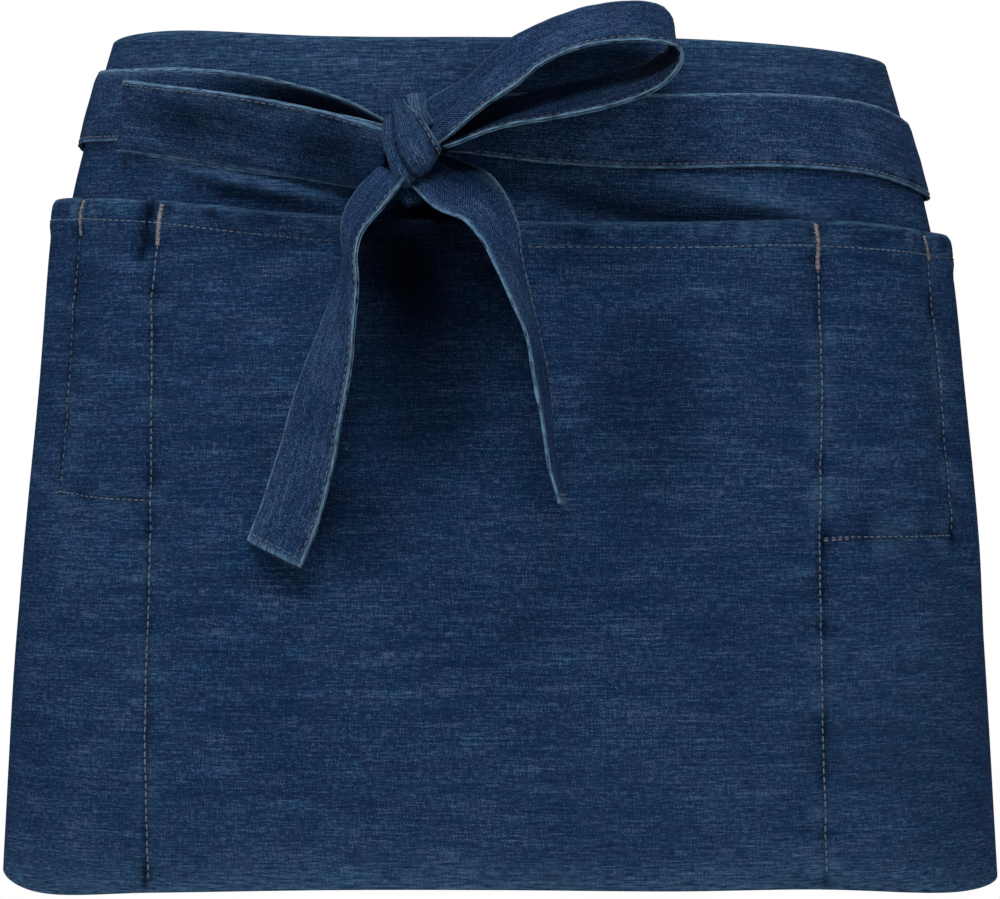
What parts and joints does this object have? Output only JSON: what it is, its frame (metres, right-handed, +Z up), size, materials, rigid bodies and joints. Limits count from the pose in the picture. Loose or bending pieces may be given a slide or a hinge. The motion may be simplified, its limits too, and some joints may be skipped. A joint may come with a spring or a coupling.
{
  "type": "waist apron",
  "caption": "Short denim waist apron as worn: a panel with a stitched pocket layer all round its front and sides, and ties brought round from the back to a bow at the front.",
  "frame": {"origin": "middle of the wearer's waist, at the height of the right tie's middle at the front", "axes": "+X towards the right of the apron as seen from the front, +Y from the front towards the wearer's back, +Z up"},
  "size_m": [0.4172, 0.289, 0.3631],
  "materials": {
    "denim_cloth": "washed indigo twill, matte",
    "denim_tie": "washed indigo twill, folded and edge stitched, matte"
  },
  "bodies": {
    "root": {"apron_panel": "denim_cloth", "pocket_panel": "denim_cloth", "waist_tie_left": "denim_tie", "waist_tie_right": "denim_tie", "bow_loop_left": "denim_tie", "bow_loop_right": "denim_tie", "tie_end_left": "denim_tie", "tie_end_right": "denim_tie", "bow_knot": "denim_tie"}
  },
  "joints": []
}
